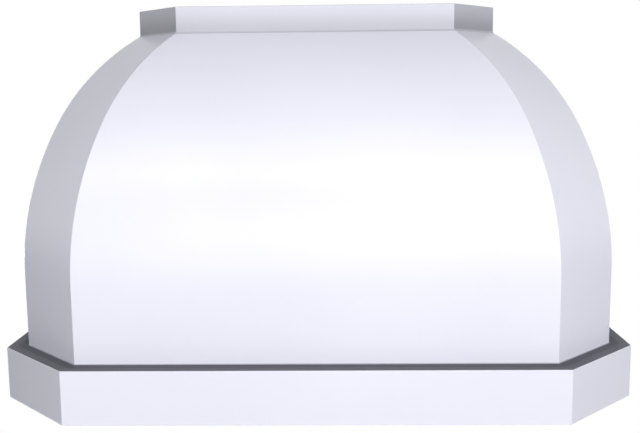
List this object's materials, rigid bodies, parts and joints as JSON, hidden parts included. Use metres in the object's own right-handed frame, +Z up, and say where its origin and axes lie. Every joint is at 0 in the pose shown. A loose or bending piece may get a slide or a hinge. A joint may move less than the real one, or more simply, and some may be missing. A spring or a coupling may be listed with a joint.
{
  "type": "range hood cover",
  "caption": "Wooden wall-hung range hood cover: apron with cut corners, curved panelled dome on a ribbed frame, short collar, and a wall cleat it lifts off.",
  "frame": {"origin": "middle of the back, on the wall plane, at the bottom edge of the apron's back rail", "axes": "+X to the right as seen from the front, +Y into the wall, +Z up; the front faces -Y"},
  "size_m": [1.2192, 0.6096, 0.762],
  "materials": {
    "painted_wood": "satin white paint over sanded wood and bent plywood, bare plywood on the inside",
    "birch_ply": "bare sanded birch plywood",
    "poplar": "bare planed softwood and poplar",
    "zinc_screw": "yellow zinc plated"
  },
  "bodies": {
    "wall_cleat": {"wall_cleat": "birch_ply"},
    "cover": {"apron_front": "painted_wood", "apron_cant_right": "painted_wood", "apron_cant_left": "painted_wood", "apron_side_right": "painted_wood", "apron_side_left": "painted_wood", "deck": "birch_ply", "ledger_side_left": "poplar", "ledger_cant_left": "poplar", "ledger_front": "poplar", "ledger_cant_right": "poplar", "ledger_side_right": "poplar", "apron_block_side_left": "poplar", "apron_block_front_left": "poplar", "apron_block_front_right": "poplar", "apron_block_side_right": "poplar", "back_rail": "poplar", "shell_front": "painted_wood", "shell_cant_right": "painted_wood", "shell_cant_left": "painted_wood", "shell_side_right": "painted_wood", "shell_side_left": "painted_wood", "rib_front_right": "birch_ply", "rib_front_left": "birch_ply", "rib_corner_front_right": "birch_ply", "rib_corner_front_left": "birch_ply", "rib_corner_side_right": "birch_ply", "rib_corner_side_left": "birch_ply", "rib_side_right": "birch_ply", "rib_side_left": "birch_ply", "rib_wall_right": "birch_ply", "rib_wall_left": "birch_ply", "former_lower": "birch_ply", "former_upper": "birch_ply", "top_panel": "birch_ply", "hanging_rail": "birch_ply", "hood_cleat": "birch_ply", "collar_front": "painted_wood", "collar_cant_right": "painted_wood", "collar_cant_left": "painted_wood", "collar_side_right": "painted_wood", "collar_side_left": "painted_wood", "collar_block_side_left": "poplar", "collar_block_front_left": "poplar", "collar_block_front_right": "poplar", "collar_block_side_right": "poplar", "collar_back_rail": "poplar", "ledger_screws": "zinc_screw", "deck_screws": "zinc_screw", "rib_foot_screws": "zinc_screw", "top_panel_screws": "zinc_screw", "hanging_rail_screws": "zinc_screw", "cleat_screws": "zinc_screw", "back_rail_screws": "zinc_screw", "collar_screws": "zinc_screw"}
  },
  "joints": [
    {"name": "cover_lift", "type": "slide", "parent": "wall_cleat", "child": "cover", "axis": [0, -0.7071, 0.7071], "range_m": [0, 0.04]}
  ]
}
